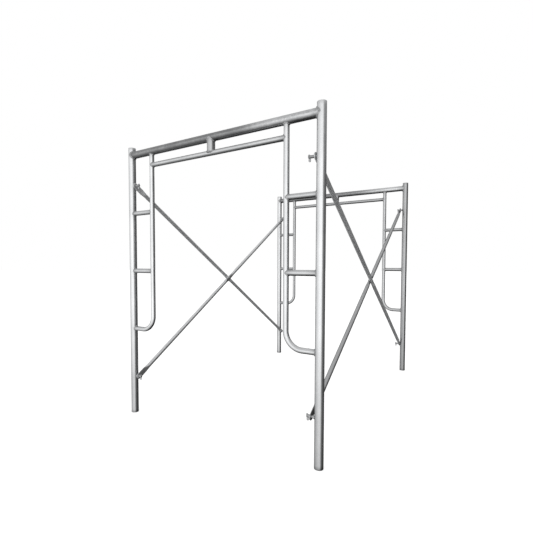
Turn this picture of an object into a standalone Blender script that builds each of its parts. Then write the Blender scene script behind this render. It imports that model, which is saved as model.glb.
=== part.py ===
"""Frame scaffold section: two welded walk-through frames joined by two pairs of crossed braces.

Metres, +Z up, origin on the floor at the middle of the bay. X runs across a frame,
Y runs along the bay. The front frame stands at -Y and the rear frame at +Y.
Every repeated piece is modelled once, about its own reference point, and then placed.
"""

import math

import bmesh
import bpy
from mathutils import Matrix, Vector

# Overall sizes
FRAME_WIDTH = 1.219        # leg centre to leg centre
FRAME_HEIGHT = 1.610       # leg length
BAY_LENGTH = 1.860         # front frame to rear frame, centre to centre

# Tubes: outside diameter and wall
LEG_OD = 0.0427
LEG_WALL = 0.0024
SLIM_OD = 0.0272           # inner tubes, header and rungs
SLIM_WALL = 0.0019
BRACE_OD = 0.024
BRACE_WALL = 0.0018

# Heights and offsets within a frame
LEDGER_DROP = 0.043        # ledger centreline below the leg tops
HEADER_DROP = 0.079        # header centreline below the ledger centreline
INNER_OFFSET = 0.170       # inner tube centreline from the leg centreline
BEND_HEIGHT = 0.521        # where the bent tail of an inner tube meets its leg
BEND_RADIUS = 0.085
RUNG_HEIGHTS = {"lower": 0.873, "upper": 1.218}
STUB_SEAT = 0.003          # the stub's lower edge above the header centreline

# Brace studs and their gravity locks
STUD_LOW = 0.228           # lower stud centreline above the floor
STUD_PITCH = 1.155         # lower stud to upper stud
STUD_OD = 0.014
STUD_LENGTH = 0.03965      # stud tip from the leg's surface
STUD_CHAMFER = 0.001
PIVOT_SETBACK = 0.006      # lock pivot from the stud tip
LOCK_THICKNESS = 0.0032
LOCK_LOWER_ARM = 0.022     # pivot to the bottom of the lock
LOCK_UPPER_ARM = 0.012     # pivot to the top of the lock
LOCK_LOWER_RADIUS = 0.0055
LOCK_UPPER_RADIUS = 0.005
LOCK_WAIST = 0.0104        # width of the lock at its pivot
LOCK_LEAN = math.radians(25)  # the upper arm's lean away from the leg
PIN_OD = 0.004
PIN_END_RECESS = 0.0005    # each end of the pin inside the stud's surface

# Braces
BAR_STANDOFF = 0.00305     # between a leg and the flattened end of the outer bar
BAR_PLATE_THICKNESS = 0.004
BAR_PLATE_LENGTH = 0.050   # flat run from the stud hole towards the middle
BAR_TIP = 0.017            # plate end beyond the stud hole
BAR_FLARE = 0.042          # length over which the plate opens into the round tube
BAR_MID_THICKNESS = 0.012  # pressed thickness where the two bars cross
BAR_MID_FLARE = 0.036
RIVET_OD = 0.010
RIVET_HEAD_OD = 0.020
RIVET_HEAD_HEIGHT = 0.0045

# Fits
WELD_GAP = 0.0003          # between a coped end and the tube it is welded to
SIDE_GAP = 0.0003          # each side of a lock in its slot, and between the crossed bars
BORE_GAP = 0.0003          # around a pin or rivet in its hole
STUD_HOLE_GAP = 0.001      # around a stud in a brace hole
SLOT_END_GAP = 0.003       # beyond the upper arm of the lock when it lies in the slot

# Facets
LEG_SIDES = 24
SLIM_SIDES = 16
SMALL_SIDES = 12
BAR_SIDES = 12
BEND_STEPS = 6
LOBE_STEPS = 6
CUTTER_SIDES = 32

# Derived
LEG_RADIUS = LEG_OD / 2
SLIM_RADIUS = SLIM_OD / 2
LEDGER_HEIGHT = FRAME_HEIGHT - LEDGER_DROP
HEADER_HEIGHT = LEDGER_HEIGHT - HEADER_DROP
STUD_HEIGHTS = {"lower": STUD_LOW, "upper": STUD_LOW + STUD_PITCH}
STUD_REACH = LEG_RADIUS + STUD_LENGTH
PIVOT_OFFSET = STUD_REACH - PIVOT_SETBACK
OUTER_BAR_OFFSET = LEG_RADIUS + BAR_STANDOFF + BAR_PLATE_THICKNESS / 2
BAR_SPACING = BAR_MID_THICKNESS + SIDE_GAP
BAR_LENGTH = math.hypot(BAY_LENGTH, STUD_PITCH)
BAR_ANGLE = math.atan2(STUD_PITCH, BAY_LENGTH)
BAR_MID_WIDTH = math.pi / 2 * (BRACE_OD - BAR_MID_THICKNESS) + BAR_MID_THICKNESS
BAR_MID_LENGTH = BAR_MID_WIDTH / math.tan(BAR_ANGLE)  # as far as the bars overlap
CROSS_HEIGHT = STUD_LOW + STUD_PITCH / 2
OVERRUN = 0.004            # how far a cutter runs past what it cuts

SIDES = {"left": -1, "right": 1}
FRAMES = {"front": -1, "rear": 1}


def clear_scene():
    for thing in list(bpy.data.objects):
        bpy.data.objects.remove(thing)


def make_collection(name):
    collection = bpy.data.collections.new(name)
    bpy.context.scene.collection.children.link(collection)
    return collection


def make_material(name, colour, roughness, metallic):
    material = bpy.data.materials.new(name)
    material.use_nodes = True
    shader = material.node_tree.nodes["Principled BSDF"]
    shader.inputs["Base Color"].default_value = (*colour, 1.0)
    shader.inputs["Roughness"].default_value = roughness
    shader.inputs["Metallic"].default_value = metallic
    return material


def temporary(data):
    """A short-lived object that holds a mesh or a curve while it is worked on."""
    thing = bpy.data.objects.new("temporary", data)
    bpy.context.scene.collection.objects.link(thing)
    return thing


def baked(thing):
    """The object's evaluated mesh in world space, welded; the object is removed."""
    depsgraph = bpy.context.evaluated_depsgraph_get()
    depsgraph.update()
    mesh = bpy.data.meshes.new_from_object(thing.evaluated_get(depsgraph))
    mesh.transform(thing.matrix_world)
    bpy.data.objects.remove(thing)
    shape = bmesh.new()
    shape.from_mesh(mesh)
    bmesh.ops.remove_doubles(shape, verts=shape.verts, dist=1e-6)
    bmesh.ops.recalc_face_normals(shape, faces=shape.faces)
    shape.to_mesh(mesh)
    shape.free()
    return mesh


def cut(mesh, *tools):
    """The mesh less each tool mesh."""
    body = temporary(mesh)
    cutters = [temporary(tool) for tool in tools]
    for cutter in cutters:
        cutter.hide_render = True
        cutter.display_type = "WIRE"
        modifier = body.modifiers.new("cut", "BOOLEAN")
        modifier.operation = "DIFFERENCE"
        modifier.solver = "EXACT"
        modifier.object = cutter
    bpy.context.view_layer.update()
    result = baked(body)
    for cutter in cutters:
        bpy.data.objects.remove(cutter)
    return result


AXIS_TURN = {
    "X": Matrix.Rotation(math.radians(90), 4, "Y"),
    "Y": Matrix.Rotation(math.radians(-90), 4, "X"),
    "Z": Matrix.Identity(4),
}


def turned(profile, sides, axis="Z"):
    """A closed profile of (radius, height) points turned about an axis."""
    mesh = bpy.data.meshes.new("profile")
    points = [(radius, 0.0, height) for radius, height in profile]
    edges = [(i, (i + 1) % len(points)) for i in range(len(points))]
    mesh.from_pydata(points, edges, [])
    thing = temporary(mesh)
    screw = thing.modifiers.new("turn", "SCREW")
    screw.steps = sides
    screw.render_steps = sides
    screw.use_merge_vertices = True
    screw.merge_threshold = 1e-5
    result = baked(thing)
    result.transform(AXIS_TURN[axis])
    return result


def tube(outside, wall, start, end, sides, axis="Z"):
    """An open-ended straight tube."""
    outer = outside / 2
    inner = outer - wall
    return turned([(outer, end), (outer, start), (inner, start), (inner, end)], sides, axis)


def cylinder(radius, start, end, axis="Z", centre=(0.0, 0.0, 0.0), sides=CUTTER_SIDES):
    """A solid cylinder along an axis, between two distances from its centre point."""
    shape = bmesh.new()
    middle = Matrix.Translation((0.0, 0.0, (start + end) / 2))
    bmesh.ops.create_cone(shape, cap_ends=True, segments=sides, radius1=radius, radius2=radius,
                          depth=end - start, matrix=middle)
    mesh = bpy.data.meshes.new("cylinder")
    shape.to_mesh(mesh)
    shape.free()
    mesh.transform(Matrix.Translation(centre) @ AXIS_TURN[axis])
    return mesh


def box(low, high):
    shape = bmesh.new()
    bmesh.ops.create_cube(shape, size=1.0)
    mesh = bpy.data.meshes.new("box")
    shape.to_mesh(mesh)
    shape.free()
    low, high = Vector(low), Vector(high)
    mesh.transform(Matrix.Translation((low + high) / 2) @ Matrix.Diagonal((*(high - low), 1.0)))
    return mesh


def swept(points, radius, sides):
    """A solid round bar that follows a line of points."""
    curve = bpy.data.curves.new("path", "CURVE")
    curve.dimensions = "3D"
    curve.bevel_depth = radius
    curve.bevel_resolution = (sides - 4) // 2
    curve.use_fill_caps = True
    spline = curve.splines.new("POLY")
    spline.points.add(len(points) - 1)
    for point, place in zip(spline.points, points):
        point.co = (*place, 1.0)
    return baked(temporary(curve))


def leg_cutter():
    return cylinder(LEG_RADIUS + WELD_GAP, -FRAME_HEIGHT, FRAME_HEIGHT)


def leg_mesh():
    """A leg standing on the floor at the origin."""
    return tube(LEG_OD, LEG_WALL, 0.0, FRAME_HEIGHT, LEG_SIDES)


def ledger_mesh():
    """The top ledger, coped to both legs; its centre is the origin."""
    half = FRAME_WIDTH / 2
    legs = [cylinder(LEG_RADIUS + WELD_GAP, -LEG_OD, LEG_OD, centre=(side * half, 0.0, 0.0))
            for side in (-1, 1)]
    return cut(tube(LEG_OD, LEG_WALL, -half, half, LEG_SIDES, "X"), *legs)


def header_mesh():
    """The header, coped to both inner tubes; its centre is the origin."""
    half = FRAME_WIDTH / 2 - INNER_OFFSET
    inners = [cylinder(SLIM_RADIUS + WELD_GAP, -LEG_OD, LEG_OD, centre=(side * half, 0.0, 0.0))
              for side in (-1, 1)]
    return cut(tube(SLIM_OD, SLIM_WALL, -half, half, SLIM_SIDES, "X"), *inners)


def stub_mesh():
    """The short post from ledger to header; the header centreline is the origin."""
    reach = FRAME_WIDTH / 2
    ledger = cylinder(LEG_RADIUS + WELD_GAP, -reach, reach, "X", centre=(0.0, 0.0, HEADER_DROP))
    header = cylinder(SLIM_RADIUS + WELD_GAP, -reach, reach, "X")
    return cut(tube(LEG_OD, LEG_WALL, STUB_SEAT, HEADER_DROP, LEG_SIDES), ledger, header)


def inner_path(overrun):
    """From the ledger down, round the bend and out to the leg, which stands at x = 0."""
    centre = Vector((INNER_OFFSET - BEND_RADIUS, 0.0, BEND_HEIGHT + BEND_RADIUS))
    turns = [math.radians(90) * step / BEND_STEPS for step in range(BEND_STEPS + 1)]
    bend = [centre + BEND_RADIUS * Vector((math.cos(a), 0.0, -math.sin(a))) for a in turns]
    top = Vector((INNER_OFFSET, 0.0, LEDGER_HEIGHT + overrun))
    return [top, *bend, Vector((-overrun, 0.0, BEND_HEIGHT))]


def inner_tube_mesh():
    """An inner tube with its bent tail; the foot of its leg is the origin."""
    solid = swept(inner_path(0.0), SLIM_RADIUS, SLIM_SIDES)
    bore = swept(inner_path(OVERRUN), SLIM_RADIUS - SLIM_WALL, SLIM_SIDES)
    ledger = cylinder(LEG_RADIUS + WELD_GAP, -INNER_OFFSET, INNER_OFFSET * 2, "X",
                      centre=(0.0, 0.0, LEDGER_HEIGHT))
    return cut(solid, bore, ledger, leg_cutter())


def rung_mesh():
    """A rung from a leg at the origin to its inner tube, coped at both ends."""
    inner = cylinder(SLIM_RADIUS + WELD_GAP, -LEG_OD, LEG_OD, centre=(INNER_OFFSET, 0.0, 0.0))
    leg = cylinder(LEG_RADIUS + WELD_GAP, -LEG_OD, LEG_OD)
    return cut(tube(SLIM_OD, SLIM_WALL, 0.0, INNER_OFFSET, SLIM_SIDES, "X"), leg, inner)


def stud_mesh():
    """A brace stud along +X from a leg at the origin, slotted for its lock."""
    radius = STUD_OD / 2
    tip = STUD_REACH
    bar = turned([(0.0, tip), (radius - STUD_CHAMFER, tip), (radius, tip - STUD_CHAMFER),
                  (radius, 0.0), (0.0, 0.0)], SLIM_SIDES, "X")
    half_slot = LOCK_THICKNESS / 2 + SIDE_GAP
    slot_end = PIVOT_OFFSET - LOCK_UPPER_ARM - SLOT_END_GAP
    slot = box((slot_end, -half_slot, -STUD_OD), (tip + OVERRUN, half_slot, STUD_OD))
    pin_hole = cylinder(PIN_OD / 2 + BORE_GAP, -STUD_OD, STUD_OD, "Y",
                        centre=(PIVOT_OFFSET, 0.0, 0.0), sides=SMALL_SIDES)
    leg = cylinder(LEG_RADIUS + WELD_GAP, -LEG_OD, LEG_OD)
    return cut(bar, leg, slot, pin_hole)


def arc(centre, radius, start, end, steps):
    angles = [start + (end - start) * step / steps for step in range(steps + 1)]
    return [(centre[0] + radius * math.cos(a), centre[1] + radius * math.sin(a)) for a in angles]


def lock_mesh():
    """The flat gravity lock, hanging from its pivot at the origin in the XZ plane."""
    lower = (0.0, LOCK_LOWER_RADIUS - LOCK_LOWER_ARM)
    rise = LOCK_UPPER_ARM - LOCK_UPPER_RADIUS
    upper = (rise * math.sin(LOCK_LEAN), rise * math.cos(LOCK_LEAN))
    waist = LOCK_WAIST / 2
    outline = (arc(upper, LOCK_UPPER_RADIUS, -LOCK_LEAN, math.pi - LOCK_LEAN, LOBE_STEPS)
               + [(-waist, 0.0)]
               + arc(lower, LOCK_LOWER_RADIUS, math.pi, 2 * math.pi, LOBE_STEPS)
               + [(waist, 0.0)])
    full_turn = 2 * math.pi
    hole = arc((0.0, 0.0), PIN_OD / 2 + BORE_GAP, 0.0, full_turn, SMALL_SIDES)[:-1]
    curve = bpy.data.curves.new("outline", "CURVE")
    curve.dimensions = "2D"
    curve.fill_mode = "BOTH"
    curve.extrude = LOCK_THICKNESS / 2
    for loop in (outline, hole):
        spline = curve.splines.new("POLY")
        spline.points.add(len(loop) - 1)
        spline.use_cyclic_u = True
        for point, (x, y) in zip(spline.points, loop):
            point.co = (x, y, 0.0, 1.0)
    mesh = baked(temporary(curve))
    mesh.transform(Matrix.Rotation(math.radians(90), 4, "X"))
    return mesh


def pin_mesh():
    """The lock's pivot pin along Y, centred on the origin."""
    half = STUD_OD / 2 - PIN_END_RECESS
    return cylinder(PIN_OD / 2, -half, half, "Y", sides=SMALL_SIDES)


def bar_stations():
    """(distance from the bar's middle, thickness, width left) for one half of a brace bar."""
    hole = BAR_LENGTH / 2
    tip = hole + BAR_TIP
    flat_end = hole - BAR_PLATE_LENGTH
    mid_end = BAR_MID_LENGTH / 2
    flare = (0.0, 0.5, 1.0)
    stations = [(mid_end, BAR_MID_THICKNESS, 1.0)]
    stations += [(mid_end + BAR_MID_FLARE, BRACE_OD, 1.0)]
    for share in reversed(flare):
        opening = BAR_PLATE_THICKNESS + (BRACE_OD - BAR_PLATE_THICKNESS) * share
        stations.append((flat_end - BAR_FLARE * share, opening, 1.0))
    stations += [(hole, BAR_PLATE_THICKNESS, 1.0)]
    for angle in (30, 60, 80):
        turn = math.radians(angle)
        stations.append((hole + (tip - hole) * math.sin(turn), BAR_PLATE_THICKNESS, math.cos(turn)))
    return stations


def bar_section(thickness, width_share, wall_inset):
    """A pressed round tube's section: half circles joined by flats, same girth as the tube."""
    radius = (thickness - BRACE_WALL) / 2
    girth = math.pi * (BRACE_OD - BRACE_WALL)
    flat = (girth / 2 - math.pi * radius) * width_share
    edge = radius + BRACE_WALL / 2 - wall_inset
    points = []
    for step in range(BAR_SIDES):
        angle = 2 * math.pi * (step + 0.5) / BAR_SIDES
        side = math.copysign(flat / 2, math.cos(angle))
        points.append((edge * math.sin(angle), side + edge * math.cos(angle)))
    return points


def add_ring(shape, distance, thickness, width_share, wall_inset):
    section = bar_section(thickness, width_share, wall_inset)
    return [shape.verts.new((x, distance, z)) for x, z in section]


def join_rings(shape, first, second):
    for step in range(len(first)):
        after = (step + 1) % len(first)
        shape.faces.new((first[step], first[after], second[after], second[step]))


def bar_mesh():
    """A brace bar along Y with its rivet hole at the origin: hollow, open at both tips."""
    half = bar_stations()
    stations = [(-d, t, w) for d, t, w in reversed(half)] + half
    shape = bmesh.new()
    skins = []
    for inset in (0.0, BRACE_WALL):
        rings = [add_ring(shape, d, t, w, inset) for d, t, w in stations]
        for first, second in zip(rings, rings[1:]):
            join_rings(shape, first, second)
        skins.append(rings)
    outer, inner = skins
    join_rings(shape, outer[0], inner[0])
    join_rings(shape, outer[-1], inner[-1])
    bmesh.ops.recalc_face_normals(shape, faces=shape.faces)
    mesh = bpy.data.meshes.new("bar")
    shape.to_mesh(mesh)
    shape.free()
    stud_hole = STUD_OD / 2 + STUD_HOLE_GAP
    holes = [cylinder(stud_hole, -STUD_OD, STUD_OD, "X", centre=(0.0, end * BAR_LENGTH / 2, 0.0),
                      sides=SLIM_SIDES) for end in (-1, 1)]
    rivet = cylinder(RIVET_OD / 2 + BORE_GAP, -BRACE_OD, BRACE_OD, "X", sides=SMALL_SIDES)
    return cut(mesh, *holes, rivet)


def rivet_mesh():
    """The rivet through both bars along X; the gap between the bars is the origin."""
    seat = SIDE_GAP / 2 + BAR_MID_THICKNESS + SIDE_GAP
    shank, rim = RIVET_OD / 2, RIVET_HEAD_OD / 2
    domed = [(0.0, seat + RIVET_HEAD_HEIGHT), (rim * 0.55, seat + RIVET_HEAD_HEIGHT * 0.85),
             (rim * 0.9, seat + RIVET_HEAD_HEIGHT * 0.4), (rim, seat), (shank, seat)]
    profile = domed + [(radius, -height) for radius, height in reversed(domed)]
    return turned(profile, SLIM_SIDES, "X")


def place(collection, name, mesh, material, location, facing=1, tilt=0.0):
    """One piece of the assembly; facing -1 turns it half round, tilt leans it about X."""
    thing = bpy.data.objects.new(name, mesh)
    collection.objects.link(thing)
    thing.location = location
    thing.rotation_euler = (tilt, 0.0, 0.0 if facing > 0 else math.pi)
    if not mesh.materials:
        mesh.materials.append(material)
    mesh.shade_smooth()
    mesh.set_sharp_from_angle(angle=math.radians(35))
    return thing


def add_frames(collection, steel, zinc):
    meshes = {"leg": leg_mesh(), "ledger": ledger_mesh(), "header": header_mesh(),
              "stub": stub_mesh(), "inner": inner_tube_mesh(), "rung": rung_mesh(),
              "stud": stud_mesh(), "lock": lock_mesh(), "pin": pin_mesh()}
    for frame, along in FRAMES.items():
        y = along * BAY_LENGTH / 2
        place(collection, f"{frame}_ledger", meshes["ledger"], steel, (0.0, y, LEDGER_HEIGHT))
        place(collection, f"{frame}_header", meshes["header"], steel, (0.0, y, HEADER_HEIGHT))
        place(collection, f"{frame}_stub", meshes["stub"], steel, (0.0, y, HEADER_HEIGHT))
        for side, across in SIDES.items():
            add_ladder_side(collection, meshes, f"{frame}_{side}", across, y, steel, zinc)


def add_ladder_side(collection, meshes, label, across, y, steel, zinc):
    """A leg with its inner tube, rungs, studs and locks; across is -1 left, +1 right."""
    x = across * FRAME_WIDTH / 2
    inward = -across
    place(collection, f"{label}_leg", meshes["leg"], steel, (x, y, 0.0))
    place(collection, f"{label}_inner_tube", meshes["inner"], steel, (x, y, 0.0), inward)
    for level, height in RUNG_HEIGHTS.items():
        place(collection, f"{label}_{level}_rung", meshes["rung"], steel, (x, y, height), inward)
    for level, height in STUD_HEIGHTS.items():
        pivot = (x + inward * PIVOT_OFFSET, y, height)
        place(collection, f"{label}_{level}_stud", meshes["stud"], zinc, (x, y, height), inward)
        place(collection, f"{label}_{level}_lock", meshes["lock"], zinc, pivot, inward)
        place(collection, f"{label}_{level}_pin", meshes["pin"], zinc, pivot, inward)


def add_braces(collection, steel, zinc):
    bar = bar_mesh()
    rivet = rivet_mesh()
    for side, across in SIDES.items():
        outer = across * (FRAME_WIDTH / 2 - OUTER_BAR_OFFSET)
        inner = outer - across * BAR_SPACING
        place(collection, f"{side}_outer_brace", bar, steel, (outer, 0.0, CROSS_HEIGHT),
              tilt=-BAR_ANGLE)
        place(collection, f"{side}_inner_brace", bar, steel, (inner, 0.0, CROSS_HEIGHT),
              tilt=BAR_ANGLE)
        place(collection, f"{side}_rivet", rivet, zinc, ((outer + inner) / 2, 0.0, CROSS_HEIGHT))


def main():
    clear_scene()
    collection = make_collection("frame_scaffold_section")
    steel = make_material("galvanised_tube", (0.55, 0.56, 0.57), 0.42, 0.9)
    zinc = make_material("zinc_fitting", (0.42, 0.43, 0.44), 0.38, 0.95)
    add_frames(collection, steel, zinc)
    add_braces(collection, steel, zinc)


main()
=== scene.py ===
"""Looks of the frame scaffold section: galvanised tubes, weld beads, studs, locks and braces.

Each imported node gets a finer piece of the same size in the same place, and welded joints get a
bead. Metres, +Z up; the front frame stands at -Y, and X runs across a frame.
"""

import math

import bmesh
import bpy
from mathutils import Matrix, Vector, noise


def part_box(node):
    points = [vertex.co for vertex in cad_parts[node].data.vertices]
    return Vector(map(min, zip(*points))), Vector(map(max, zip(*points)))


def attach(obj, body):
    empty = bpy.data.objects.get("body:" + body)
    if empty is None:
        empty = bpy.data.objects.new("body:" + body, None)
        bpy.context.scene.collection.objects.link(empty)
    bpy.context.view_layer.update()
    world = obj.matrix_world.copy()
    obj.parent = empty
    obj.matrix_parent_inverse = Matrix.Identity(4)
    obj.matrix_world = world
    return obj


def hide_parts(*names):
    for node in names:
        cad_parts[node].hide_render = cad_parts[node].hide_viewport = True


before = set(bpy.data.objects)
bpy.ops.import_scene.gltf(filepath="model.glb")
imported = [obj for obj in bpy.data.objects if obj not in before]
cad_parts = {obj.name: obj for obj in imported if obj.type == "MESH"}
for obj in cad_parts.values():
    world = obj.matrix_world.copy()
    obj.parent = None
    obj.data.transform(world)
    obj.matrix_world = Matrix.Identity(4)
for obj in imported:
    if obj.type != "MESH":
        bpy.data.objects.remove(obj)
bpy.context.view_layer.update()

X, Y, Z = Vector((1, 0, 0)), Vector((0, 1, 0)), Vector((0, 0, 1))
SIDES = {"left": -1, "right": 1}
FRAMES = ("front", "rear")
LEVELS = ("lower", "upper")


def size_of(node):
    low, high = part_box(node)
    return high - low


def middle_of(node):
    low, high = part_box(node)
    return (low + high) / 2


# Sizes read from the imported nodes
LEG_RADIUS = size_of("front_left_leg").x / 2
LEG_HEIGHT = size_of("front_left_leg").z
SLIM_RADIUS = size_of("front_header").z / 2
STUD_RADIUS = size_of("front_left_lower_stud").z / 2
PIVOT = middle_of("front_left_lower_pin")
STUD_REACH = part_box("front_left_lower_stud")[1].x - middle_of("front_left_leg").x
PIVOT_REACH = PIVOT.x - middle_of("front_left_leg").x
PIN_RADIUS = size_of("front_left_lower_pin").x / 2
PIN_HALF = size_of("front_left_lower_pin").y / 2
LOCK_HALF = size_of("front_left_lower_lock").y / 2
LOCK_BOTTOM = PIVOT.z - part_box("front_left_lower_lock")[0].z
BAY = middle_of("rear_left_leg").y - middle_of("front_left_leg").y
PITCH = middle_of("front_left_upper_stud").z - middle_of("front_left_lower_stud").z
INNER_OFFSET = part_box("front_left_inner_tube")[1].x - SLIM_RADIUS - middle_of("front_left_leg").x
BEND_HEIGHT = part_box("front_left_inner_tube")[0].z + SLIM_RADIUS

# Sizes the boxes don't give
WELD_GAP = 0.0003
LEG_WALL = 0.0024
SLIM_WALL = 0.0019
BRACE_WALL = 0.0018
BRACE_OD = 0.024
BEND_RADIUS = 0.085
STUB_SEAT = 0.003
SLOT_GAP = 0.0003
PIN_GAP = 0.0003
LOCK_LOWER_RADIUS = 0.0055
LOCK_UPPER_RADIUS = 0.005
LOCK_UPPER_REACH = 0.012
LOCK_WAIST = 0.0052
LOCK_LEAN = math.radians(25)
BAR_LENGTH = math.hypot(BAY, PITCH)
BAR_ANGLE = math.atan2(PITCH, BAY)
BAR_PLATE = 0.004
BAR_PLATE_LENGTH = 0.050
BAR_TIP = 0.017
BAR_FLARE = 0.042
BAR_MID = 0.012
BAR_MID_WIDTH = math.pi / 2 * (BRACE_OD - BAR_MID) + BAR_MID
BAR_MID_LENGTH = BAR_MID_WIDTH / math.tan(BAR_ANGLE)
BAR_MID_FLARE = 0.036
STUD_HOLE = STUD_RADIUS + 0.001
RIVET_RADIUS = 0.005
RIVET_HEAD_RADIUS = 0.010
RIVET_HEAD_HEIGHT = 0.0045

# Weld beads: width beside the joint, and how deep the flanks of a saddle sit
BEAD = {"ledger": 0.0048, "header": 0.0034, "stub_foot": 0.0036, "stub_head": 0.0038,
        "inner_top": 0.0036, "tail": 0.0040, "rung_at_leg": 0.0036, "rung_at_inner": 0.0030,
        "stud": 0.0016}
LEG_SEAT = 0.0022
SLIM_SEAT = 0.0018

# From a joint's centre to the first plain ring of the tube that meets it there
CLEAR_OF_LEG = 0.026
CLEAR_OF_SLIM = 0.020

# Facets and surface relief
LEG_SIDES = 48
SLIM_SIDES = 36
BAR_SIDES = 32
RING_STEP = 0.018
BEND_STEPS = 20
MID_FLARE_STEPS = 12
END_FLARE_STEPS = 14
ROLL = 0.0006            # edge rounding at an open tube end
RIPPLE = 0.00010         # height of the uneven zinc on a tube

# Painted shade of each tube, as a share of the brightest: darker copies of the same galvanised steel stand
# in for shade
LEG_PAINTED_SHADE = {"front_left": 0.97, "front_right": 1.0, "rear_left": 0.95, "rear_right": 0.56}
SLIM_PAINTED_SHADE = {"front": 0.96, "rear": 0.68}
RISING_PAINTED_SHADE = {"left": 1.0, "right": 0.66}


# ---------------------------------------------------------------- materials

def node_tools(tree):
    """Short ways to add a node and to link a value or a socket into an input."""
    def add(kind, **settings):
        node = tree.nodes.new(kind)
        for key, value in settings.items():
            setattr(node, key, value)
        return node

    def feed(target, source):
        if isinstance(source, bpy.types.NodeSocket):
            tree.links.new(source, target)
        else:
            target.default_value = source

    def maths(operation, *sources, clamp=False):
        node = add("ShaderNodeMath", operation=operation, use_clamp=clamp)
        for target, source in zip(node.inputs, sources):
            feed(target, source)
        return node.outputs[0]

    return add, feed, maths


def galvanised(name, along, dark, light, rough=(0.14, 0.26), grain=0.5, metal=1.0):
    """Zinc-coated steel whose streaks run along a direction; dark and light bound its greys."""
    material = bpy.data.materials.new(name)
    material.use_nodes = True
    tree = material.node_tree
    add, feed, maths = node_tools(tree)
    shader = tree.nodes["Principled BSDF"]
    shader.inputs["Metallic"].default_value = metal
    place = add("ShaderNodeTexCoord").outputs["Object"]

    turned = add("ShaderNodeMapping", vector_type="POINT")
    feed(turned.inputs["Vector"], place)
    turned.inputs["Rotation"].default_value = along.rotation_difference(Z).to_euler()

    def pattern(scale, detail, stretch=1.0, roughness=0.5):
        squeeze = add("ShaderNodeMapping", vector_type="POINT")
        feed(squeeze.inputs["Vector"], turned.outputs[0])
        squeeze.inputs["Scale"].default_value = (1.0, 1.0, stretch)
        texture = add("ShaderNodeTexNoise")
        feed(texture.inputs["Vector"], squeeze.outputs[0])
        texture.inputs["Scale"].default_value = scale
        texture.inputs["Detail"].default_value = detail
        texture.inputs["Roughness"].default_value = roughness
        return texture.outputs["Fac"]

    blotch = pattern(9.0, 3.0, 0.6)
    cloud = pattern(34.0, 4.0, 0.5, 0.6)
    streak = pattern(120.0, 3.0, 0.06)
    speck = pattern(420.0, 2.0, 0.7)

    cells = add("ShaderNodeTexVoronoi", feature="F1")
    feed(cells.inputs["Vector"], place)
    cells.inputs["Scale"].default_value = 130.0
    cells.inputs["Randomness"].default_value = 1.0
    flake = add("ShaderNodeSeparateColor")
    feed(flake.inputs[0], cells.outputs["Color"])
    spangle = flake.outputs[0]

    mixed = maths("MULTIPLY", blotch, 0.55)
    for source, share in ((cloud, 0.50), (streak, 0.22), (speck, 0.16), (spangle, 0.20)):
        mixed = maths("MULTIPLY_ADD", source, share * grain, mixed)
    spread = add("ShaderNodeMapRange", interpolation_type="SMOOTHSTEP")
    feed(spread.inputs["Value"], mixed)
    middle = 0.275 + 0.54 * grain
    spread.inputs["From Min"].default_value = middle - 0.26
    spread.inputs["From Max"].default_value = middle + 0.26
    tone = add("ShaderNodeAttribute", attribute_name="tone")
    ramp = add("ShaderNodeValToRGB")
    ramp.color_ramp.elements[0].color = (dark * 0.985, dark, dark * 1.015, 1.0)
    ramp.color_ramp.elements[1].color = (light * 0.99, light, light * 1.01, 1.0)
    feed(ramp.inputs["Fac"], spread.outputs[0])
    shaded = add("ShaderNodeMix", data_type="RGBA", blend_type="MULTIPLY")
    shaded.inputs["Factor"].default_value = 1.0
    feed(shaded.inputs["A"], ramp.outputs["Color"])
    feed(shaded.inputs["B"], tone.outputs["Color"])
    feed(shader.inputs["Base Color"], shaded.outputs["Result"])

    dullness = maths("MULTIPLY_ADD", cloud, 0.7, maths("MULTIPLY", spangle, 0.3))
    sheen = add("ShaderNodeMapRange")
    feed(sheen.inputs["Value"], dullness)
    sheen.inputs["From Min"].default_value = 0.25
    sheen.inputs["From Max"].default_value = 0.75
    sheen.inputs["To Min"].default_value, sheen.inputs["To Max"].default_value = rough
    feed(shader.inputs["Roughness"], sheen.outputs[0])

    relief = maths("MULTIPLY_ADD", speck, 0.25, maths("MULTIPLY", cloud, 0.6))
    relief = maths("MULTIPLY_ADD", streak, 0.25, relief)
    bump = add("ShaderNodeBump")
    bump.inputs["Strength"].default_value = 0.12
    bump.inputs["Distance"].default_value = 0.0006
    feed(bump.inputs["Height"], relief)
    feed(shader.inputs["Normal"], bump.outputs[0])
    return material


STEEL = {
    "upright": galvanised("galvanised_upright", Z, 0.72, 0.90),
    "ledger": galvanised("galvanised_ledger", X, 0.55, 0.85, grain=0.9),
    "cross": galvanised("galvanised_cross", X, 0.66, 0.88),
    "slim": galvanised("galvanised_slim", Z, 0.72, 0.92),
    "falling": galvanised("galvanised_falling_bar", Vector((0, math.cos(BAR_ANGLE), -math.sin(BAR_ANGLE))),
                          0.70, 0.90, rough=(0.42, 0.55), metal=0.6),
    "rising": galvanised("galvanised_rising_bar", Vector((0, math.cos(BAR_ANGLE), math.sin(BAR_ANGLE))),
                         0.78, 0.95, rough=(0.26, 0.38)),
    "fitting": galvanised("zinc_fitting", X, 0.34, 0.58, rough=(0.22, 0.36)),
    "weld": galvanised("galvanised_weld", Z, 0.34, 0.62, rough=(0.34, 0.52), grain=1.3),
}


# ---------------------------------------------------------------- mesh helpers

class Surface:
    """Vertices, faces and a per-vertex tone, gathered before they become one mesh."""

    def __init__(self):
        self.points, self.faces, self.tones = [], [], []

    def ring(self, points, tones):
        first = len(self.points)
        self.points += points
        self.tones += tones
        return list(range(first, first + len(points)))

    def bridge(self, first, second):
        count = len(first)
        for i in range(count):
            j = (i + 1) % count
            self.faces.append((first[i], first[j], second[j], second[i]))

    def loft(self, rings, closed=False):
        for first, second in zip(rings, rings[1:]):
            self.bridge(first, second)
        if closed:
            self.bridge(rings[-1], rings[0])


def eased(share):
    return share * share * (3 - 2 * share)


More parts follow.
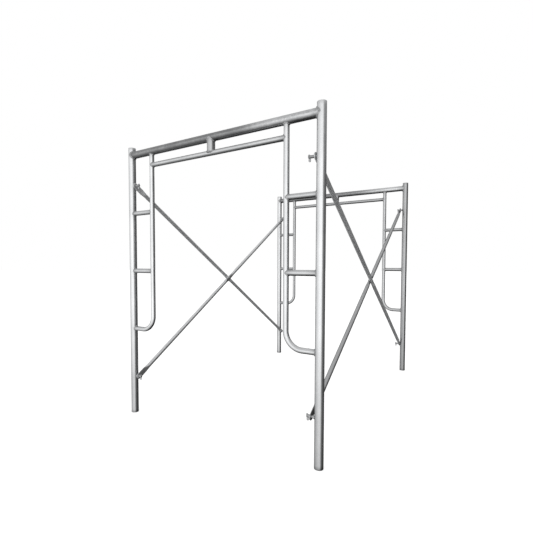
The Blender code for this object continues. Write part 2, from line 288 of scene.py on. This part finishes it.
def face_outwards(mesh):
    shape = bmesh.new()
    shape.from_mesh(mesh)
    bmesh.ops.recalc_face_normals(shape, faces=shape.faces)
    shape.to_mesh(mesh)
    shape.free()


def finished(name, surface_or_mesh, material, body, nodes=(), sharp=40, matrix=None, painted_shade=1.0):
    """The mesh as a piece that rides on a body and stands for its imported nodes."""
    if isinstance(surface_or_mesh, Surface):
        mesh = bpy.data.meshes.new(name)
        mesh.from_pydata(surface_or_mesh.points, [], surface_or_mesh.faces)
        tone = mesh.attributes.new("tone", "FLOAT", "POINT")
        tone.data.foreach_set("value", surface_or_mesh.tones)
    else:
        mesh = surface_or_mesh
        # A mesh without a tone of its own takes the piece's painted shade all over
        if "tone" not in mesh.attributes:
            tone = mesh.attributes.new("tone", "FLOAT", "POINT")
            tone.data.foreach_set("value", [painted_shade] * len(mesh.vertices))
    if matrix is not None:
        mesh.transform(matrix)
    face_outwards(mesh)
    mesh.materials.clear()
    mesh.materials.append(material)
    mesh.shade_smooth()
    mesh.set_sharp_from_angle(angle=math.radians(sharp))
    piece = bpy.data.objects.new(name, mesh)
    bpy.context.scene.collection.objects.link(piece)
    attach(piece, body)
    if nodes:
        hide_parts(*nodes)
    return piece


def uneven(point, height=RIPPLE):
    """How far the zinc stands proud at a point, from slow waves and a few finer ones."""
    return height * (noise.noise(point * 26.0) + 0.5 * noise.noise(point * 90.0 + Vector((7, 3, 1))))


def cope(tangent, main_axis, main_radius, seat=0.0):
    """How far from the joint's centre a tube's edge stops to clear the tube it meets."""
    across = tangent.cross(main_axis)
    clear = main_radius + WELD_GAP

    def reach(offset):
        sideways = offset.dot(across)
        return max(seat, math.sqrt(max(0.0, clear * clear - sideways * sideways)))
    return reach


def tube_surface(stations, radius, wall, sides, start=None, end=None, tone=None):
    """A hollow tube through (centre, tangent, normal) stations, its ends coped or rolled."""
    surface = Surface()
    tone = tone or (lambda point: 1.0)
    skins = []
    for inside in (False, True):
        size = radius - wall if inside else radius
        rings = []
        for i, (centre, tangent, normal) in enumerate(stations):
            binormal = tangent.cross(normal)
            points = []
            for k in range(sides):
                angle = 2 * math.pi * k / sides
                outward = math.cos(angle) * normal + math.sin(angle) * binormal
                offset = size * outward
                point = centre + offset
                if i == 0 and start:
                    point = point + tangent * start(offset)
                elif i == len(stations) - 1 and end:
                    point = point - tangent * end(offset)
                elif not inside:
                    point = point + outward * uneven(point)
                points.append(point)
            rings.append(surface.ring([tuple(p) for p in points], [tone(p) for p in points]))
        surface.loft(rings)
        skins.append(rings)
    for index, cut, sign in ((0, start, -1), (-1, end, 1)):
        if cut:
            surface.bridge(skins[0][index], skins[1][index])
        else:
            add_rim(surface, stations[index], radius, wall, sides, sign, skins, index, tone)
    return surface


def add_rim(surface, station, radius, wall, sides, sign, skins, index, tone):
    """A rolled edge between the outer and inner skin at an open end."""
    centre, tangent, normal = station
    binormal = tangent.cross(normal)
    rings = [skins[0][index]]
    for size, along in ((radius - ROLL * 0.3, ROLL * 0.7), (radius - ROLL, ROLL),
                        (radius - wall + ROLL, ROLL), (radius - wall + ROLL * 0.3, ROLL * 0.7)):
        points = []
        for k in range(sides):
            angle = 2 * math.pi * k / sides
            outward = math.cos(angle) * normal + math.sin(angle) * binormal
            points.append(centre + size * outward + sign * along * tangent)
        rings.append(surface.ring([tuple(p) for p in points], [tone(p) * 0.85 for p in points]))
    rings.append(skins[1][index])
    surface.loft(rings)


def straight(start, end, near, far, step=RING_STEP):
    """Stations along a straight tube, clear of its coped ends by near and far."""
    start, end = Vector(start), Vector(end)
    tangent = (end - start).normalized()
    normal = Y if abs(tangent.dot(Y)) < 0.9 else X
    length = (end - start).length
    first, last = near, length - far
    count = max(1, round((last - first) / step))
    along = [0.0] if near else []
    along += [first + (last - first) * i / count for i in range(count + 1)]
    along += [length] if far else []
    return [(start + tangent * a, tangent, normal) for a in along]


def joint_shade(joints, depth=0.35, reach=0.016, painted_shade=1.0):
    """A tone that darkens towards welded joints, given as (centre, radius of the weld), with painted shade
    darkening the whole tube as well.
    """
    def tone(point):
        nearest = min(max(0.0, (point - centre).length - size) for centre, size in joints)
        return painted_shade * (1.0 - depth * math.exp(-nearest / reach))
    return tone


def shaded_below(shade, height, radius, depth=0.5):
    """The same tone, with painted shade on the underside of a level tube."""
    def tone(point):
        low = min(1.0, max(0.0, (height - point.z) / radius))
        return shade(point) * (1.0 - depth * eased(low))
    return tone


# ---------------------------------------------------------------- weld beads

def add_bead(surface, joint, tangent, radius, main_axis, main_radius, width, seat=0.0, seed=0.0):
    """A rippled fillet round the line where a branch tube meets a main tube."""
    normal = main_axis
    binormal = tangent.cross(normal)
    reach = cope(tangent, main_axis, main_radius - WELD_GAP, seat)
    steps = max(48, round(2 * math.pi * radius / 0.0008))
    ripples = max(12, round(2 * math.pi * radius / 0.0026))

    def spot(angle):
        offset = radius * (math.cos(angle) * normal + math.sin(angle) * binormal)
        return joint + offset + tangent * reach(offset), offset.normalized()

    rings = []
    for k in range(steps):
        angle = 2 * math.pi * k / steps
        point, branch_normal = spot(angle)
        line = (spot(angle + 0.02)[0] - spot(angle - 0.02)[0]).normalized()
        away = point - joint
        main_normal = (away - main_axis * away.dot(main_axis)).normalized()
        up = line.cross(branch_normal).normalized()
        up = up if up.dot(tangent) > 0 else -up
        side = line.cross(main_normal).normalized()
        side = side if side.dot(branch_normal - tangent) > 0 else -side
        bulge = (branch_normal + main_normal).normalized()
        swell = 1.0 + 0.22 * noise.noise(Vector((math.cos(angle) * 1.7, math.sin(angle) * 1.7, seed)))
        points = [point - 0.5 * 0.001 * (branch_normal + main_normal)]
        for share in (0.0, 0.18, 0.36, 0.5, 0.64, 0.82, 1.0):
            crest = 4 * share * (1 - share)
            wave = math.sin(ripples * angle - 1.6 * crest)
            leg = width * swell * (1.0 + 0.07 * wave)
            base = point + up * leg * (1 - share) + side * leg * share
            sink = 0.0003 if share in (0.0, 1.0) else 0.0
            points.append(base + bulge * (leg * 0.20 * crest + 0.00022 * wave * crest - sink))
        shade = 0.92 + 0.16 * noise.noise(point * 60.0 + Vector((seed, 0, 0)))
        rings.append(surface.ring([tuple(p) for p in points], [shade] * len(points)))
    surface.loft(rings, closed=True)


# ---------------------------------------------------------------- frames

def add_frame_tubes(label):
    """Both legs, the ledger, the header and the stub of one frame, with their weld beads."""
    left, right = (middle_of(f"{label}_{side}_leg") for side in SIDES)
    y = left.y
    ledger_z = middle_of(f"{label}_ledger").z
    header_z = middle_of(f"{label}_header").z
    middle = (left.x + right.x) / 2
    beads = Surface()

    start, end = Vector((left.x, y, ledger_z)), Vector((right.x, y, ledger_z))
    inner_left, inner_right = left.x + INNER_OFFSET, right.x - INNER_OFFSET
    weld_shade = joint_shade([(start, LEG_RADIUS), (end, LEG_RADIUS)])

    def ledger_painted_highlight(point):
        """Darker for most of the length, then brighter towards the right end, as a painted highlight."""
        share = (point.x - left.x) / (right.x - left.x)
        bright = min(1.0, max(0.0, (share - 0.62) / 0.2))
        return weld_shade(point) * (0.46 + 0.54 * eased(bright))

    surface = tube_surface(straight(start, end, CLEAR_OF_LEG, CLEAR_OF_LEG), LEG_RADIUS, LEG_WALL,
                           LEG_SIDES, cope(X, Z, LEG_RADIUS), cope(X, Z, LEG_RADIUS),
                           shaded_below(ledger_painted_highlight, ledger_z, LEG_RADIUS, 0.35))
    finished(f"{label}_ledger_tube", surface, STEEL["ledger"], "frames",
             [f"{label}_ledger"])
    for joint, tangent, seed in ((start, X, 1.0), (end, -X, 2.0)):
        add_bead(beads, joint, tangent, LEG_RADIUS, Z, LEG_RADIUS, BEAD["ledger"], LEG_SEAT, seed)

    start, end = Vector((inner_left, y, header_z)), Vector((inner_right, y, header_z))
    # The header's whole-tube darkening, deeper on the rear frame, is painted shade
    shade = joint_shade([(start, SLIM_RADIUS), (end, SLIM_RADIUS)], painted_shade=SLIM_PAINTED_SHADE[label])
    surface = tube_surface(straight(start, end, CLEAR_OF_SLIM, CLEAR_OF_SLIM), SLIM_RADIUS, SLIM_WALL,
                           SLIM_SIDES, cope(X, Z, SLIM_RADIUS), cope(X, Z, SLIM_RADIUS),
                           shaded_below(shade, header_z, SLIM_RADIUS))
    finished(f"{label}_header_tube", surface, STEEL["cross"], "frames",
             [f"{label}_header"])
    for joint, tangent, seed in ((start, X, 3.0), (end, -X, 4.0)):
        add_bead(beads, joint, tangent, SLIM_RADIUS, Z, SLIM_RADIUS, BEAD["header"], SLIM_SEAT, seed)

    start, end = Vector((middle, y, header_z)), Vector((middle, y, ledger_z))
    # The stub is darkened all over to 0.7 as painted shade under the ledger
    shade = joint_shade([(start, SLIM_RADIUS), (end, LEG_RADIUS)], 0.25, 0.008, 0.7)
    stations = straight(start, end, 0.024, 0.030, 0.008)
    surface = tube_surface(stations, LEG_RADIUS, LEG_WALL, LEG_SIDES,
                           cope(Z, X, SLIM_RADIUS, STUB_SEAT), cope(Z, X, LEG_RADIUS), shade)
    finished(f"{label}_stub_tube", surface, STEEL["upright"], "frames",
             [f"{label}_stub"])
    add_bead(beads, start, Z, LEG_RADIUS, X, SLIM_RADIUS, BEAD["stub_foot"], STUB_SEAT, seed=5.0)
    add_bead(beads, end, -Z, LEG_RADIUS, X, LEG_RADIUS, BEAD["stub_head"], LEG_SEAT, seed=6.0)
    finished(f"{label}_beam_welds", beads, STEEL["weld"], "frames", sharp=60)

    for side, across in SIDES.items():
        add_ladder_side(label, side, -across, ledger_z)


def inner_stations(leg, inward, ledger_z):
    """From the ledger down the inner tube, round its bend and out to the leg."""
    top = Vector((leg.x + inward * INNER_OFFSET, leg.y, ledger_z))
    centre = Vector((leg.x + inward * (INNER_OFFSET - BEND_RADIUS), leg.y, BEND_HEIGHT + BEND_RADIUS))
    stations = [(c, -Z, Y) for c, _, _ in straight(top, (top.x, top.y, centre.z), CLEAR_OF_LEG, 0.0)]
    for step in range(1, BEND_STEPS + 1):
        angle = math.radians(90) * step / BEND_STEPS
        outward = Vector((inward * math.cos(angle), 0.0, -math.sin(angle)))
        tangent = Vector((-inward * math.sin(angle), 0.0, -math.cos(angle)))
        stations.append((centre + BEND_RADIUS * outward, tangent, Y))
    joint = Vector((leg.x, leg.y, BEND_HEIGHT))
    for c, tangent, _ in straight(stations[-1][0], joint, 0.0, CLEAR_OF_LEG, 0.012)[1:]:
        stations.append((c, tangent, Y))
    return stations, top, joint


def add_ladder_side(label, side, inward, ledger_z):
    """A leg with its inner tube, rungs and studs; inward is +1 on the left, -1 on the right."""
    name = f"{label}_{side}"
    leg = middle_of(f"{name}_leg")
    axis = inward * X
    foot = Vector((leg.x, leg.y, 0.0))
    heights = {level: middle_of(f"{name}_{level}_rung").z for level in LEVELS}
    studs = {level: middle_of(f"{name}_{level}_stud").z for level in LEVELS}
    inner_x = leg.x + inward * INNER_OFFSET
    beads = Surface()

    spots = [(Vector((leg.x, leg.y, ledger_z)), LEG_RADIUS * 1.5),
             (Vector((leg.x, leg.y, BEND_HEIGHT)), LEG_RADIUS)]
    spots += [(Vector((leg.x, leg.y, z)), LEG_RADIUS) for z in heights.values()]
    spots += [(Vector((leg.x, leg.y, z)), LEG_RADIUS) for z in studs.values()]
    near_joint = joint_shade([(centre + axis * LEG_RADIUS, 0.008) for centre, _ in spots], 0.22, 0.014)

    # How dark this leg is painted as shade, as a share of the brightest leg
    painted_shade = LEG_PAINTED_SHADE[name]

    def leg_tone(point):
        """Darker towards the foot, near its welds and in the last few millimetres above the floor, and by
        the leg's painted shade all over.
        """
        low = max(0.0, 1.0 - point.z / 0.7)
        return painted_shade * near_joint(point) * (1.0 - 0.30 * low) * (1.0 - 0.35 * math.exp(-point.z / 0.006))

    stations = straight(foot + Z * ROLL, foot + Z * (LEG_HEIGHT - ROLL), 0.0, 0.0)
    surface = tube_surface(stations, LEG_RADIUS, LEG_WALL, LEG_SIDES, tone=leg_tone)
    finished(f"{name}_leg_tube", surface, STEEL["upright"], "frames", [f"{name}_leg"])

    stations, top, joint = inner_stations(leg, inward, ledger_z)
    # The inner tube's whole-tube darkening, deeper on the rear frame, is painted shade
    shade = joint_shade([(top, LEG_RADIUS), (joint, LEG_RADIUS)], 0.35, 0.012, SLIM_PAINTED_SHADE[label])
    surface = tube_surface(stations, SLIM_RADIUS, SLIM_WALL, SLIM_SIDES,
                           cope(-Z, X, LEG_RADIUS), cope(-axis, Z, LEG_RADIUS), shade)
    finished(f"{name}_inner_tube_bent", surface, STEEL["slim"], "frames",
             [f"{name}_inner_tube"])
    add_bead(beads, top, -Z, SLIM_RADIUS, X, LEG_RADIUS, BEAD["inner_top"], seed=11.0)
    add_bead(beads, joint, axis, SLIM_RADIUS, Z, LEG_RADIUS, BEAD["tail"], seed=12.0)

    for level, z in heights.items():
        start, end = Vector((leg.x, leg.y, z)), Vector((inner_x, leg.y, z))
        # The rung's whole-tube darkening, deeper on the rear frame, is painted shade
        shade = joint_shade([(start, LEG_RADIUS), (end, SLIM_RADIUS)], 0.35, 0.012, SLIM_PAINTED_SHADE[label])
        stations = straight(start, end, CLEAR_OF_LEG, CLEAR_OF_SLIM, 0.012)
        surface = tube_surface(stations, SLIM_RADIUS, SLIM_WALL, SLIM_SIDES,
                               cope(axis, Z, LEG_RADIUS), cope(axis, Z, SLIM_RADIUS),
                               shaded_below(shade, start.z, SLIM_RADIUS))
        finished(f"{name}_{level}_rung_tube", surface, STEEL["cross"], "frames",
                 [f"{name}_{level}_rung"])
        add_bead(beads, start, axis, SLIM_RADIUS, Z, LEG_RADIUS, BEAD["rung_at_leg"], seed=13.0 + z)
        add_bead(beads, end, -axis, SLIM_RADIUS, Z, SLIM_RADIUS, BEAD["rung_at_inner"], SLIM_SEAT,
                 seed=15.0 + z)
    for level, z in studs.items():
        add_bead(beads, Vector((leg.x, leg.y, z)), axis, STUD_RADIUS, Z, LEG_RADIUS, BEAD["stud"],
                 seed=17.0 + z)
        add_stud(f"{name}_{level}", Vector((leg.x, leg.y, z)), inward)
    finished(f"{name}_ladder_welds", beads, STEEL["weld"], "frames", sharp=60)


# ---------------------------------------------------------------- studs and locks

def held(data):
    """A short-lived object for a mesh or a curve that is being worked on."""
    thing = bpy.data.objects.new("held", data)
    bpy.context.scene.collection.objects.link(thing)
    return thing


def baked(thing):
    bpy.context.view_layer.update()
    depsgraph = bpy.context.evaluated_depsgraph_get()
    mesh = bpy.data.meshes.new_from_object(thing.evaluated_get(depsgraph))
    bpy.data.objects.remove(thing)
    return mesh


def cut(mesh, tools, bevel=0.0):
    """The mesh less each tool, its sharp edges then rounded by bevel."""
    body = held(mesh)
    cutters = [held(tool) for tool in tools]
    for cutter in cutters:
        modifier = body.modifiers.new("cut", "BOOLEAN")
        modifier.operation = "DIFFERENCE"
        modifier.solver = "EXACT"
        modifier.object = cutter
    if bevel:
        modifier = body.modifiers.new("bevel", "BEVEL")
        modifier.width = bevel
        modifier.segments = 2
        modifier.limit_method = "ANGLE"
        modifier.angle_limit = math.radians(40)
        modifier.use_clamp_overlap = True
    result = baked(body)
    for cutter in cutters:
        bpy.data.objects.remove(cutter)
    return result


def rod(radius, start, end, axis, centre=Vector(), sides=40):
    """A solid round cutter along an axis."""
    shape = bmesh.new()
    bmesh.ops.create_cone(shape, cap_ends=True, segments=sides, radius1=radius, radius2=radius,
                          depth=end - start, matrix=Matrix.Translation((0, 0, (start + end) / 2)))
    mesh = bpy.data.meshes.new("rod")
    shape.to_mesh(mesh)
    shape.free()
    turn = Z.rotation_difference(axis).to_matrix().to_4x4()
    mesh.transform(Matrix.Translation(centre) @ turn)
    return mesh


def spun(profile, axis, sides=40):
    """A solid turned from (radius, height) points that start and end on the axis."""
    surface = Surface()
    rings = []
    turn = Z.rotation_difference(axis)
    for radius, height in profile:
        if radius == 0.0:
            rings.append(surface.ring([tuple(turn @ Vector((0, 0, height)))], [1.0]))
            continue
        points = [tuple(turn @ Vector((radius * math.cos(a), radius * math.sin(a), height)))
                  for a in (2 * math.pi * k / sides for k in range(sides))]
        rings.append(surface.ring(points, [1.0] * sides))
    for first, second in zip(rings, rings[1:]):
        if len(first) == 1 or len(second) == 1:
            tip, rim = (first[0], second) if len(first) == 1 else (second[0], first)
            for i in range(sides):
                surface.faces.append((tip, rim[i], rim[(i + 1) % sides]))
        else:
            surface.bridge(first, second)
    mesh = bpy.data.meshes.new("spun")
    mesh.from_pydata(surface.points, [], surface.faces)
    face_outwards(mesh)
    return mesh


def block(low, high):
    shape = bmesh.new()
    bmesh.ops.create_cube(shape, size=1.0)
    mesh = bpy.data.meshes.new("block")
    shape.to_mesh(mesh)
    shape.free()
    low, high = Vector(low), Vector(high)
    mesh.transform(Matrix.Translation((low + high) / 2) @ Matrix.Diagonal((*(high - low), 1.0)))
    return mesh


def stud_mesh():
    """A stud along +X from a leg at the origin, slotted and drilled, with a rounded tip."""
    tip, radius = STUD_REACH, STUD_RADIUS
    root = LEG_RADIUS - 0.0015
    profile = [(0.0, root), (radius, root)]
    profile += [(radius, root + (tip - 0.0016 - root) * s) for s in (0.35, 0.7, 1.0)]
    profile += [(radius - 0.0004, tip - 0.0007), (radius - 0.0012, tip - 0.0001), (radius - 0.002, tip),
                (0.0, tip)]
    half = LOCK_HALF + SLOT_GAP
    slot_end = PIVOT_REACH - LOCK_UPPER_REACH - 0.003
    slot = block((slot_end, -half, -0.02), (tip + 0.004, half, 0.02))
    hole = rod(PIN_RADIUS + PIN_GAP, -0.02, 0.02, Y, Vector((PIVOT_REACH, 0, 0)), 24)
    return cut(spun(profile, X, 32), [slot, hole], 0.00035)


def arc(centre, radius, start, end, steps):
    return [(centre[0] + radius * math.cos(start + (end - start) * i / steps),
             centre[1] + radius * math.sin(start + (end - start) * i / steps))
            for i in range(steps + 1)]


def lock_mesh():
    """The gravity lock hanging from its pivot at the origin, in the XZ plane, edges rounded."""
    edge = 0.0005
    arm = LOCK_UPPER_REACH - LOCK_UPPER_RADIUS
    upper = (arm * math.sin(LOCK_LEAN), arm * math.cos(LOCK_LEAN))
    lower = (0.0, LOCK_LOWER_RADIUS - LOCK_BOTTOM)
    outline = arc(upper, LOCK_UPPER_RADIUS - edge, -LOCK_LEAN, math.pi - LOCK_LEAN, 14)
    outline += [(edge - LOCK_WAIST, 0.0)]
    outline += arc(lower, LOCK_LOWER_RADIUS - edge, math.pi, 2 * math.pi, 14)
    outline += [(LOCK_WAIST - edge, 0.0)]
    hole = arc((0.0, 0.0), PIN_RADIUS + PIN_GAP + edge, 0.0, 2 * math.pi, 24)[:-1]
    curve = bpy.data.curves.new("outline", "CURVE")
    curve.dimensions = "2D"
    curve.fill_mode = "BOTH"
    curve.extrude = LOCK_HALF - edge
    curve.bevel_depth = edge
    curve.bevel_resolution = 2
    for loop in (outline, hole):
        spline = curve.splines.new("POLY")
        spline.points.add(len(loop) - 1)
        spline.use_cyclic_u = True
        for point, (x, y) in zip(spline.points, loop):
            point.co = (x, y, 0.0, 1.0)
    mesh = baked(held(curve))
    mesh.transform(Matrix.Rotation(math.radians(90), 4, "X"))
    shape = bmesh.new()
    shape.from_mesh(mesh)
    bmesh.ops.remove_doubles(shape, verts=shape.verts, dist=1e-6)
    shape.to_mesh(mesh)
    shape.free()
    return mesh


def pin_mesh():
    """The pivot pin along Y, its ends peened to low domes."""
    half, radius = PIN_HALF, PIN_RADIUS
    dome = [(0.0, half), (radius * 0.5, half - 0.0001), (radius * 0.85, half - 0.0004),
            (radius, half - 0.0010)]
    return spun(dome + [(r, -h) for r, h in reversed(dome)], Y, 24)


STUD, LOCK, PIN = stud_mesh(), lock_mesh(), pin_mesh()


def add_stud(name, root, inward):
    """One stud with its lock and pin; root is the leg's axis at the stud's height."""
    turn = Matrix.Identity(4) if inward > 0 else Matrix.Rotation(math.pi, 4, "Z")
    pivot = Matrix.Translation(root + inward * PIVOT_REACH * X) @ turn
    finished(f"{name}_stud_turned", STUD.copy(), STEEL["fitting"], "frames",
             [f"{name}_stud"], 35, Matrix.Translation(root) @ turn)
    finished(f"{name}_lock_blade", LOCK.copy(), STEEL["fitting"], f"{name}_lock_body",
             [f"{name}_lock"], 50, pivot)
    finished(f"{name}_pin_peened", PIN.copy(), STEEL["fitting"], "frames",
             [f"{name}_pin"], 50, pivot)


# ---------------------------------------------------------------- braces

def bar_profile():
    """(distance, thickness, width share) stations for one half of a brace bar."""
    hole = BAR_LENGTH / 2
    flat_end = hole - BAR_PLATE_LENGTH
    mid_end = BAR_MID_LENGTH / 2
    opening = flat_end - BAR_FLARE
    stations = [(mid_end * s, BAR_MID, 1.0) for s in (0.35, 0.7, 1.0)]
    for i in range(1, MID_FLARE_STEPS + 1):
        stations.append((mid_end + BAR_MID_FLARE * i / MID_FLARE_STEPS,
                         BAR_MID + (BRACE_OD - BAR_MID) * eased(i / MID_FLARE_STEPS), 1.0))
    plain_start = mid_end + BAR_MID_FLARE
    count = round((opening - plain_start) / 0.03)
    stations += [(plain_start + (opening - plain_start) * i / count, BRACE_OD, 1.0)
                 for i in range(1, count + 1)]
    for i in range(1, END_FLARE_STEPS + 1):
        stations.append((opening + BAR_FLARE * i / END_FLARE_STEPS,
                         BRACE_OD + (BAR_PLATE - BRACE_OD) * eased(i / END_FLARE_STEPS), 1.0))
    stations += [(flat_end + BAR_PLATE_LENGTH * s, BAR_PLATE, 1.0) for s in (0.25, 0.5, 0.72, 0.88, 1.0)]
    for degrees in (12, 24, 36, 48, 58, 68, 76, 82):
        turn = math.radians(degrees)
        stations.append((hole + BAR_TIP * math.sin(turn), BAR_PLATE, math.cos(turn)))
    return stations


def bar_ring(surface, distance, thickness, share, inset):
    """A ring of the bar's skin: two half circles joined by flats that grow as it is pressed."""
    radius = (thickness - BRACE_WALL) / 2
    girth = math.pi * (BRACE_OD - BRACE_WALL)
    flat = (girth / 2 - math.pi * radius) * share
    edge = radius + BRACE_WALL / 2 - inset
    points = []
    for k in range(BAR_SIDES):
        angle = 2 * math.pi * (k + 0.5) / BAR_SIDES
        side = math.copysign(flat / 2, math.cos(angle))
        point = Vector((edge * math.sin(angle), distance, side + edge * math.cos(angle)))
        if not inset:
            point.x += uneven(point)
        points.append(tuple(point))
    return surface.ring(points, [1.0] * BAR_SIDES)


def bar_mesh():
    """A brace bar along Y, hollow, its ends pressed flat and drilled."""
    half = bar_profile()
    stations = [(-d, t, w) for d, t, w in reversed(half)] + half
    surface = Surface()
    outer, inner = ([bar_ring(surface, d, t, w, inset) for d, t, w in stations]
                    for inset in (0.0, BRACE_WALL))
    surface.loft(outer)
    surface.loft(inner)
    surface.bridge(outer[0], inner[0])
    surface.bridge(outer[-1], inner[-1])
    mesh = bpy.data.meshes.new("bar")
    mesh.from_pydata(surface.points, [], surface.faces)
    face_outwards(mesh)
    holes = [rod(STUD_HOLE, -0.01, 0.01, X, Vector((0, end * BAR_LENGTH / 2, 0)), 36) for end in (-1, 1)]
    holes.append(rod(RIVET_RADIUS + 0.0003, -0.03, 0.03, X, Vector(), 24))
    return cut(mesh, holes)


def rivet_mesh():
    """The centre rivet along X: a shank between two domed heads."""
    seat = size_of("left_rivet").x / 2 - RIVET_HEAD_HEIGHT
    dome = []
    for i in range(9):
        turn = math.radians(90) * i / 8
        dome.append((RIVET_HEAD_RADIUS * math.sin(turn), seat + 0.0008
                     + (RIVET_HEAD_HEIGHT - 0.0008) * math.cos(turn)))
    dome += [(RIVET_HEAD_RADIUS * 0.97, seat), (RIVET_RADIUS, seat)]
    return spun(dome + [(r, -h) for r, h in reversed(dome)], X, 36)


def add_braces():
    bar, rivet = bar_mesh(), rivet_mesh()
    cross = middle_of("left_rivet").z
    for side in SIDES:
        for layer, tilt, finish in (("outer", -BAR_ANGLE, "falling"), ("inner", BAR_ANGLE, "rising")):
            node = f"{side}_{layer}_brace"
            place = Matrix.Translation((middle_of(node).x, 0.0, cross)) @ Matrix.Rotation(tilt, 4, "X")
            # The right rising bar is darkened all over as painted shade
            painted_shade = RISING_PAINTED_SHADE[side] if finish == "rising" else 1.0
            finished(f"{side}_{layer}_brace_bar", bar.copy(), STEEL[finish], f"{side}_braces",
                     [node], 40, place, painted_shade)
        finished(f"{side}_rivet_domed", rivet.copy(), STEEL["fitting"], f"{side}_braces",
                 [f"{side}_rivet"], 50, Matrix.Translation(middle_of(f"{side}_rivet")))


# ---------------------------------------------------------------- floor, light and camera

VIEW_AZIMUTH = math.radians(32.197)
VIEW_DOWN = math.radians(2.421)
VIEW_ROLL = math.radians(0.100)
VIEW_PLACE = Vector((1.2369, -2.4555, 0.9070))
FOCAL = 0.6971           # as a share of the frame's width
SHIFT = (0.01965, 0.02741)


def add_camera():
    forward = Vector((-math.sin(VIEW_AZIMUTH) * math.cos(VIEW_DOWN),
                      math.cos(VIEW_AZIMUTH) * math.cos(VIEW_DOWN), -math.sin(VIEW_DOWN)))
    right = Vector((math.cos(VIEW_AZIMUTH), math.sin(VIEW_AZIMUTH), 0.0))
    up = right.cross(forward)
    tilted = math.cos(VIEW_ROLL) * right + math.sin(VIEW_ROLL) * up
    upright = tilted.cross(forward)
    data = bpy.data.cameras.new("camera")
    data.sensor_width = 36.0
    data.lens = 36.0 * FOCAL
    data.shift_x, data.shift_y = SHIFT
    data.clip_start, data.clip_end = 0.05, 200.0
    camera = bpy.data.objects.new("camera", data)
    bpy.context.scene.collection.objects.link(camera)
    basis = Matrix((tilted, upright, -forward)).transposed().to_4x4()
    camera.matrix_world = Matrix.Translation(VIEW_PLACE) @ basis
    bpy.context.scene.camera = camera


def add_floor():
    """A pale floor, glowing enough to read as white and left out of every reflection."""
    mesh = bpy.data.meshes.new("floor")
    far = 60.0
    level = -0.0004
    mesh.from_pydata([(-far, -far, level), (far, -far, level), (far, far, level), (-far, far, level)],
                     [], [(0, 1, 2, 3)])
    material = bpy.data.materials.new("pale_floor")
    material.use_nodes = True
    shader = material.node_tree.nodes["Principled BSDF"]
    shader.inputs["Base Color"].default_value = (0.85, 0.85, 0.85, 1.0)
    shader.inputs["Roughness"].default_value = 0.9
    shader.inputs["Specular IOR Level"].default_value = 0.0
    shader.inputs["Emission Color"].default_value = (1.0, 1.0, 1.0, 1.0)
    shader.inputs["Emission Strength"].default_value = 0.62
    mesh.materials.append(material)
    floor = bpy.data.objects.new("floor", mesh)
    bpy.context.scene.collection.objects.link(floor)
    floor.visible_glossy = False
    floor.visible_diffuse = False


# The studio's brightness, (position, value). Round about: 0.5 is the side the main camera stands
# on, 0.25 to its left, 0.75 to its right. The others run from straight down, 0, to straight up, 1.
STUDIO_STRENGTH = 1.0
ROUND_ABOUT = [(0.0, 0.04), (0.10, 0.42), (0.22, 0.80), (0.33, 1.05), (0.42, 1.28), (0.545, 1.28),
               (0.585, 0.62), (0.635, 0.22), (0.72, 0.13), (0.79, 0.10), (0.86, 0.02), (1.0, 0.04)]
OVERHEAD = [(0.0, 0.01), (0.5, 0.5), (1.0, 0.68)]
OVERHEAD_SHARE = [(0.0, 0.0), (0.60, 0.0), (0.80, 0.8), (1.0, 1.0)]
BELOW = [(0.0, 0.02), (0.04, 0.12), (0.13, 0.48), (0.28, 0.76), (0.44, 1.0)]


def add_world():
    """Light on the object: bright from the main camera's side and left, dark on its right and beyond.

    The camera itself sees plain white behind the object.
    """
    world = bpy.data.worlds.new("studio")
    bpy.context.scene.world = world
    world.use_nodes = True
    tree = world.node_tree
    tree.nodes.clear()
    add, feed, maths = node_tools(tree)
    way = add("ShaderNodeTexCoord").outputs["Generated"]
    split = add("ShaderNodeSeparateXYZ")
    feed(split.inputs[0], way)
    x, y, z = split.outputs

    def along(direction):
        return maths("ADD", maths("MULTIPLY", x, direction[0]), maths("MULTIPLY", y, direction[1]))

    back = (math.sin(VIEW_AZIMUTH), -math.cos(VIEW_AZIMUTH))
    right = (math.cos(VIEW_AZIMUTH), math.sin(VIEW_AZIMUTH))
    turn = maths("ARCTAN2", along(right), along(back))
    share = add("ShaderNodeMapRange")
    feed(share.inputs["Value"], turn)
    share.inputs["From Min"].default_value = -math.pi
    share.inputs["From Max"].default_value = math.pi

    def ramp(source, stops):
        node = add("ShaderNodeValToRGB")
        feed(node.inputs["Fac"], source)
        elements = node.color_ramp.elements
        while len(elements) < len(stops):
            elements.new(0.5)
        for element, (position, value) in zip(elements, stops):
            element.position = position
            element.color = (value, value, value, 1.0)
        return node.outputs["Color"]

    round_about = ramp(share.outputs[0], ROUND_ABOUT)
    lift = maths("MULTIPLY_ADD", z, 0.5, 0.5)
    overhead = ramp(lift, OVERHEAD)
    blend = add("ShaderNodeMix", data_type="RGBA")
    feed(blend.inputs["Factor"], ramp(lift, OVERHEAD_SHARE))
    feed(blend.inputs["A"], round_about)
    feed(blend.inputs["B"], overhead)
    drop = add("ShaderNodeMix", data_type="RGBA", blend_type="MULTIPLY")
    drop.inputs["Factor"].default_value = 1.0
    feed(drop.inputs["A"], blend.outputs["Result"])
    feed(drop.inputs["B"], ramp(lift, BELOW))

    studio = add("ShaderNodeBackground")
    feed(studio.inputs["Color"], drop.outputs["Result"])
    studio.inputs["Strength"].default_value = STUDIO_STRENGTH
    plain = add("ShaderNodeBackground")
    plain.inputs["Color"].default_value = (1.0, 1.0, 1.0, 1.0)
    choice = add("ShaderNodeMixShader")
    feed(choice.inputs[0], add("ShaderNodeLightPath").outputs["Is Camera Ray"])
    feed(choice.inputs[1], studio.outputs[0])
    feed(choice.inputs[2], plain.outputs[0])
    output = add("ShaderNodeOutputWorld")
    feed(output.inputs["Surface"], choice.outputs[0])


for label in FRAMES:
    add_frame_tubes(label)
add_braces()
add_floor()
add_world()
add_camera()

bpy.context.scene.view_settings.view_transform = "Standard"
bpy.context.scene.view_settings.look = "None"
